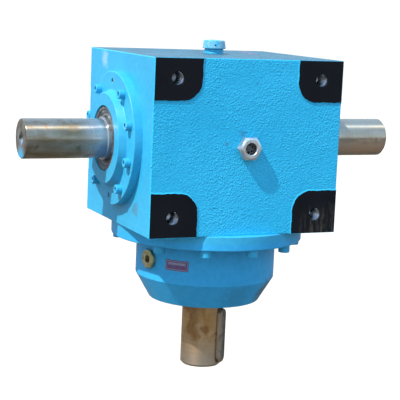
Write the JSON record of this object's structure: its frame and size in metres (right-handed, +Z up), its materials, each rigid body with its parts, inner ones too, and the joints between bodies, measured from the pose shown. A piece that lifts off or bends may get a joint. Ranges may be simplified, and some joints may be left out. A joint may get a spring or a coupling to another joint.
{
  "type": "right angle bevel gearbox",
  "caption": "Cubic cast-iron right-angle bevel gearbox with a through cross shaft, a keyed pinion shaft on a round flanged carrier, sight glass, breather and drain plug.",
  "frame": {"origin": "middle of the four-hole pattern of the front pads, in the plane of the pad faces; the shaft axes cross 127 mm behind it", "axes": "+X along the cross shaft to the right, +Y from the front pads to the rear, +Z up, away from the pinion shaft"},
  "size_m": [0.56, 0.275, 0.473],
  "materials": {
    "blue_cast_iron": "cast iron under rough blue gloss paint, black machined pads",
    "painted_fastener": "steel painted over in the housing's blue",
    "shaft_steel": "turned and ground steel, oily, with a little flash rust",
    "gear_steel": "case-hardened alloy steel",
    "key_steel": "drawn key steel",
    "bearing_steel": "ground bearing steel",
    "seal_rubber": "black nitrile rubber",
    "zinc_plate": "bright zinc plate on steel",
    "yellow_zinc": "yellow passivated zinc plate on steel",
    "sight_window": "clear window over a dark reflector, taken as one opaque insert"
  },
  "bodies": {
    "housing": {"housing": "blue_cast_iron", "pinion_carrier": "blue_cast_iron", "left_bearing_cover": "blue_cast_iron", "right_bearing_cover": "blue_cast_iron", "left_oil_seal": "seal_rubber", "right_oil_seal": "seal_rubber", "pinion_oil_seal": "seal_rubber", "left_bearing_cup": "bearing_steel", "right_bearing_cup": "bearing_steel", "pinion_upper_bearing_cup": "bearing_steel", "pinion_lower_bearing_cup": "bearing_steel", "sight_glass_body": "zinc_plate", "sight_glass_lens": "sight_window", "breather_body": "painted_fastener", "breather_cap": "painted_fastener", "drain_plug": "yellow_zinc", "left_cover_screw_1": "painted_fastener", "left_cover_screw_2": "painted_fastener", "left_cover_screw_3": "painted_fastener", "left_cover_screw_4": "painted_fastener", "left_cover_screw_5": "painted_fastener", "left_cover_screw_6": "painted_fastener", "left_cover_screw_7": "painted_fastener", "left_cover_screw_8": "painted_fastener", "right_cover_screw_1": "painted_fastener", "right_cover_screw_2": "painted_fastener", "right_cover_screw_3": "painted_fastener", "right_cover_screw_4": "painted_fastener", "right_cover_screw_5": "painted_fastener", "right_cover_screw_6": "painted_fastener", "right_cover_screw_7": "painted_fastener", "right_cover_screw_8": "painted_fastener", "carrier_screw_1": "painted_fastener", "carrier_screw_2": "painted_fastener", "carrier_screw_3": "painted_fastener", "carrier_screw_4": "painted_fastener", "carrier_screw_5": "painted_fastener", "carrier_screw_6": "painted_fastener", "carrier_screw_7": "painted_fastener", "carrier_screw_8": "painted_fastener", "carrier_screw_9": "painted_fastener", "carrier_screw_10": "painted_fastener"},
    "cross_shaft": {"cross_shaft": "shaft_steel", "crown_wheel": "gear_steel", "crown_wheel_key": "key_steel", "left_shaft_key": "key_steel", "right_shaft_key": "key_steel", "left_bearing_cone": "bearing_steel", "right_bearing_cone": "bearing_steel"},
    "pinion_shaft": {"pinion_shaft": "shaft_steel", "pinion_shaft_key": "key_steel", "pinion_locknut": "gear_steel", "pinion_upper_bearing_cone": "bearing_steel", "pinion_lower_bearing_cone": "bearing_steel"},
    "left_cage": {"left_bearing_rollers": "bearing_steel"},
    "right_cage": {"right_bearing_rollers": "bearing_steel"},
    "pinion_upper_cage": {"pinion_upper_bearing_rollers": "bearing_steel"},
    "pinion_lower_cage": {"pinion_lower_bearing_rollers": "bearing_steel"}
  },
  "joints": [
    {"name": "cross_shaft_spin", "type": "hinge", "parent": "housing", "child": "cross_shaft", "pos_m": [0, 0.127, 0], "axis": [1, 0, 0], "continuous": true},
    {"name": "pinion_shaft_spin", "type": "hinge", "parent": "housing", "child": "pinion_shaft", "pos_m": [0, 0.127, 0], "axis": [0, 0, 1], "continuous": true},
    {"name": "left_cage_spin", "type": "hinge", "parent": "housing", "child": "left_cage", "pos_m": [0, 0.127, 0], "axis": [1, 0, 0], "continuous": true},
    {"name": "right_cage_spin", "type": "hinge", "parent": "housing", "child": "right_cage", "pos_m": [0, 0.127, 0], "axis": [1, 0, 0], "continuous": true},
    {"name": "pinion_upper_cage_spin", "type": "hinge", "parent": "housing", "child": "pinion_upper_cage", "pos_m": [0, 0.127, 0], "axis": [0, 0, 1], "continuous": true},
    {"name": "pinion_lower_cage_spin", "type": "hinge", "parent": "housing", "child": "pinion_lower_cage", "pos_m": [0, 0.127, 0], "axis": [0, 0, 1], "continuous": true}
  ],
  "couplings": [
    {"joint": "pinion_shaft_spin", "follows": "cross_shaft_spin", "ratio": -1},
    {"joint": "left_cage_spin", "follows": "cross_shaft_spin", "ratio": 0.4405},
    {"joint": "right_cage_spin", "follows": "cross_shaft_spin", "ratio": 0.4405},
    {"joint": "pinion_upper_cage_spin", "follows": "cross_shaft_spin", "ratio": -0.4436},
    {"joint": "pinion_lower_cage_spin", "follows": "cross_shaft_spin", "ratio": -0.4412}
  ]
}
